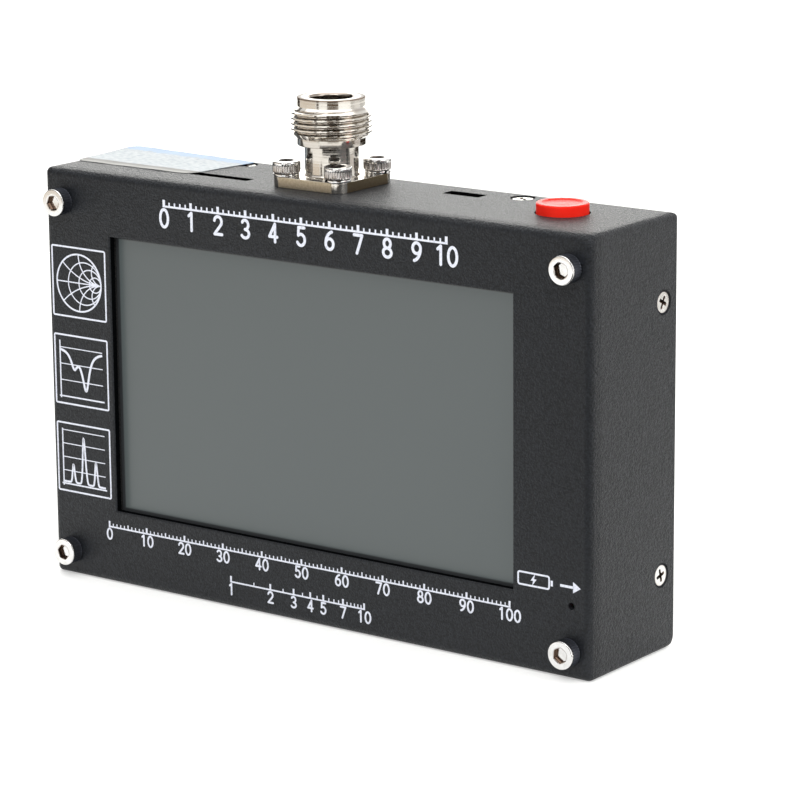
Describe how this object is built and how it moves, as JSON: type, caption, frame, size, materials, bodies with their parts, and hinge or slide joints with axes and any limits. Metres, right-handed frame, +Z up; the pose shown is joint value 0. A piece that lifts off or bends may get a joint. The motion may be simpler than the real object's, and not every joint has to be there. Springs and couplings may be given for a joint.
{
  "type": "antenna analyzer",
  "caption": "Handheld antenna analyzer: flat sheet-metal box with a wide touch screen, a screw-on coaxial antenna socket, card and charging slots and a round power button on top.",
  "frame": {"origin": "centre of the housing's flat underside, midway between its sides and between its front and rear faces", "axes": "+Z up, +X to the right as the user faces the screen, the screen faces -Y"},
  "size_m": [0.133, 0.032, 0.1024],
  "materials": {
    "powder_coat": "fine textured matt black powder coat",
    "bright_screws": "bright plated screw heads",
    "stainless_cap_screws": "polished stainless with knurled rims",
    "plated_brass": "turned hexagon bar",
    "zinc_screws": "zinc plated",
    "foam": "closed-cell foam",
    "touch_glass": "anti-glare touch film on glass",
    "display_face": "unlit grey liquid-crystal panel behind a dark border",
    "tinplate": "pressed tinplate",
    "clear_acrylic": "clear acrylic plate",
    "polyimide": "amber film over copper tracks",
    "socket_plastic": "cream moulded connector",
    "board_laminate": "green solder mask on glass laminate",
    "black_moulding": "matt black moulding compound",
    "tinned_metal": "tinned copper",
    "ceramic": "fired ceramic chips",
    "lamp_resin": "tinted clear resin",
    "gold_plate": "gold-plated brass",
    "nickel_plate": "nickel-plated turned brass",
    "white_fluoropolymer": "machined white insulator",
    "red_plastic": "glossy moulded red",
    "white_plastic": "moulded white",
    "spring_wire": "drawn spring wire",
    "battery_foil": "heat-sealed foil pouch",
    "adhesive_tape": "double-sided tape",
    "lead_insulation": "soft coloured insulation",
    "label_film": "glossy white film with a pale blue band"
  },
  "bodies": {
    "housing": {"front_shell": "powder_coat", "rear_cover": "powder_coat", "shell_screws": "bright_screws", "panel_screws": "stainless_cap_screws", "front_standoffs": "plated_brass", "rear_standoffs": "plated_brass", "board_screws": "zinc_screws", "display_gasket": "foam", "touch_panel": "touch_glass", "lcd_glass": "display_face", "backlight_tray": "tinplate", "light_guide": "clear_acrylic", "display_pads": "foam", "display_ribbon": "polyimide", "touch_ribbon": "polyimide", "display_socket": "socket_plastic", "touch_socket": "socket_plastic", "main_board": "board_laminate", "radio_board": "board_laminate", "processor": "black_moulding", "memory_chips": "black_moulding", "charger_chip": "black_moulding", "chip_leads": "tinned_metal", "crystal": "tinned_metal", "board_passives": "ceramic", "card_socket": "tinplate", "usb_socket": "tinplate", "usb_tongue": "black_moulding", "charge_led": "lamp_resin", "led_legs": "tinned_metal", "link_socket": "black_moulding", "link_header": "black_moulding", "link_pins": "gold_plate", "shield_can": "tinplate", "radio_chips": "black_moulding", "power_coils": "black_moulding", "connector_body": "nickel_plate", "connector_insulator": "white_fluoropolymer", "connector_contact": "gold_plate", "connector_screws": "stainless_cap_screws", "connector_washers": "stainless_cap_screws", "connector_nuts": "stainless_cap_screws", "signal_wire": "tinned_metal", "switch_body": "black_moulding", "switch_spring": "spring_wire", "switch_pins": "tinned_metal", "battery_pack": "battery_foil", "battery_tape": "adhesive_tape", "battery_socket": "white_plastic", "battery_plug": "white_plastic", "battery_leads": "lead_insulation", "top_label": "label_film"},
    "button": {"power_button": "red_plastic", "switch_plunger": "white_plastic"}
  },
  "joints": [
    {"name": "power_press", "type": "slide", "parent": "housing", "child": "button", "axis": [0, 0, 1], "range_m": [-0.0015, 0], "stiffness_N_per_m": 1000, "springref_m": 0.0006, "deforming": ["switch_spring"]}
  ]
}
